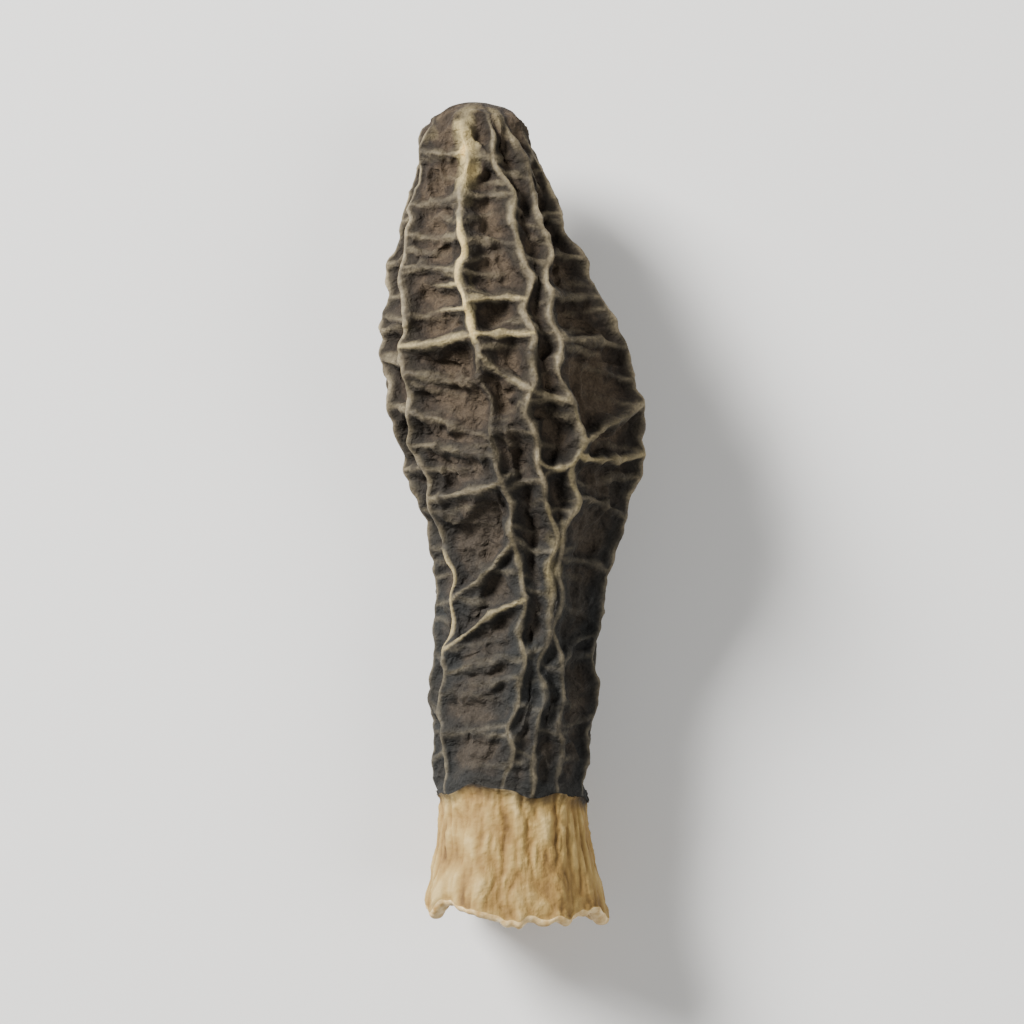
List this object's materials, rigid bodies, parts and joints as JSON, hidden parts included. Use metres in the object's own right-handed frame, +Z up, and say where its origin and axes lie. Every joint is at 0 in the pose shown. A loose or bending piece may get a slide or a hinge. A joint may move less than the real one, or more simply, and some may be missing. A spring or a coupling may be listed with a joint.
{
  "type": "dried morel mushroom",
  "caption": "Dried morel mushroom with a long cap of raised ribs and deep pits, hollow inside, its stem cut short, lying on its side.",
  "frame": {"origin": "on the surface that the mushroom lies on, under the middle of its outline seen from above", "axes": "+Y towards the tip of the cap, +Z up from the surface, +X to the right when the tip points away"},
  "size_m": [0.0124, 0.038, 0.0109],
  "materials": {
    "dried_flesh": "matte, wrinkled, dark in the pits and paler on the crests of the ribs"
  },
  "bodies": {
    "root": {"morel": "dried_flesh"}
  },
  "joints": []
}
